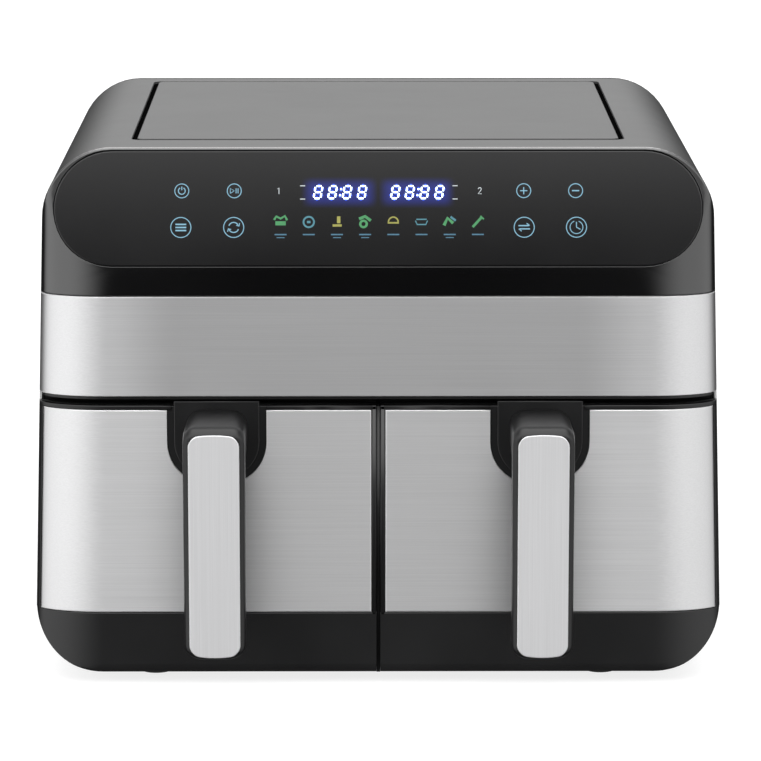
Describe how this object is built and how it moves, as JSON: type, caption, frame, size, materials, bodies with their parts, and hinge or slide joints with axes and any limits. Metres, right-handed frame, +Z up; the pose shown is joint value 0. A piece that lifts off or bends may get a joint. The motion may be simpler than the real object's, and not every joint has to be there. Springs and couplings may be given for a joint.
{
  "type": "dual-drawer air fryer",
  "caption": "Countertop air fryer with side-by-side pull-out drawers, vertical bar handles, a leaning gloss touch panel and brushed steel fronts.",
  "frame": {"origin": "centre of the bounding box in X and Y, on the surface the feet stand on", "axes": "+X to the right-hand drawer, +Y from the drawer handles to the back, +Z up"},
  "size_m": [0.3874, 0.392, 0.3026],
  "materials": {
    "satin_shell": "satin moulded plastic, fine grain",
    "gloss_black": "piano gloss moulding",
    "panel_black": "gloss touch panel with lit segments",
    "display_glass": "lit segment display module",
    "brushed_steel": "fine brushing along the width",
    "inlay_steel": "brushed strip",
    "satin_black": "satin moulded plastic",
    "base_black": "moulded plastic",
    "rubber_black": "soft rubber",
    "silicone": "silicone",
    "nonstick": "non-stick coating",
    "sheet_metal": "bare sheet",
    "heater_rod": "heat-darkened sheathed rod",
    "motor_steel": "laminated steel and can",
    "circuit_green": "solder-mask circuit board",
    "screw_steel": "plated steel",
    "fan_black": "moulded plastic"
  },
  "bodies": {
    "housing": {"outer_housing": "satin_shell", "top_plate": "satin_shell", "front_fascia": "gloss_black", "control_panel": "panel_black", "control_board": "circuit_green", "steel_band": "brushed_steel", "front_frame": "satin_black", "base_pan": "base_black", "rear_cover": "base_black", "cord_inlet": "rubber_black", "power_board": "circuit_green", "foot_1": "rubber_black", "foot_2": "rubber_black", "foot_3": "rubber_black", "foot_4": "rubber_black", "rear_screw_1": "screw_steel", "rear_screw_2": "screw_steel", "display_left": "display_glass", "drawer_switch_left": "base_black", "chamber_left": "sheet_metal", "heater_left": "heater_rod", "heater_guard_left": "sheet_metal", "fan_shroud_left": "sheet_metal", "motor_left": "motor_steel", "display_right": "display_glass", "drawer_switch_right": "base_black", "chamber_right": "sheet_metal", "heater_right": "heater_rod", "heater_guard_right": "sheet_metal", "fan_shroud_right": "sheet_metal", "motor_right": "motor_steel"},
    "drawer_left": {"drawer_front_left": "satin_black", "steel_skin_left": "brushed_steel", "handle_lug_left": "satin_black", "handle_left": "satin_black", "handle_inlay_left": "inlay_steel", "tub_left": "nonstick"},
    "crisper_left": {"crisper_plate_left": "nonstick", "bumper_left_1": "silicone", "bumper_left_2": "silicone", "bumper_left_3": "silicone", "bumper_left_4": "silicone"},
    "fan_left": {"fan_shaft_left": "screw_steel", "impeller_left": "sheet_metal", "cooling_fan_left": "fan_black"},
    "drawer_right": {"drawer_front_right": "satin_black", "steel_skin_right": "brushed_steel", "handle_lug_right": "satin_black", "handle_right": "satin_black", "handle_inlay_right": "inlay_steel", "tub_right": "nonstick"},
    "crisper_right": {"crisper_plate_right": "nonstick", "bumper_right_1": "silicone", "bumper_right_2": "silicone", "bumper_right_3": "silicone", "bumper_right_4": "silicone"},
    "fan_right": {"fan_shaft_right": "screw_steel", "impeller_right": "sheet_metal", "cooling_fan_right": "fan_black"}
  },
  "joints": [
    {"name": "drawer_left_slide", "type": "slide", "parent": "housing", "child": "drawer_left", "axis": [0, -1, 0], "range_m": [0, 0.24]},
    {"name": "crisper_left_lift", "type": "slide", "parent": "drawer_left", "child": "crisper_left", "axis": [0, 0, 1], "range_m": [0, 0.1]},
    {"name": "fan_left_spin", "type": "hinge", "parent": "housing", "child": "fan_left", "pos_m": [-0.093, 0.0105, 0.19], "axis": [0, 0, 1], "continuous": true},
    {"name": "drawer_right_slide", "type": "slide", "parent": "housing", "child": "drawer_right", "axis": [0, -1, 0], "range_m": [0, 0.24]},
    {"name": "crisper_right_lift", "type": "slide", "parent": "drawer_right", "child": "crisper_right", "axis": [0, 0, 1], "range_m": [0, 0.1]},
    {"name": "fan_right_spin", "type": "hinge", "parent": "housing", "child": "fan_right", "pos_m": [0.093, 0.0105, 0.19], "axis": [0, 0, 1], "continuous": true}
  ]
}
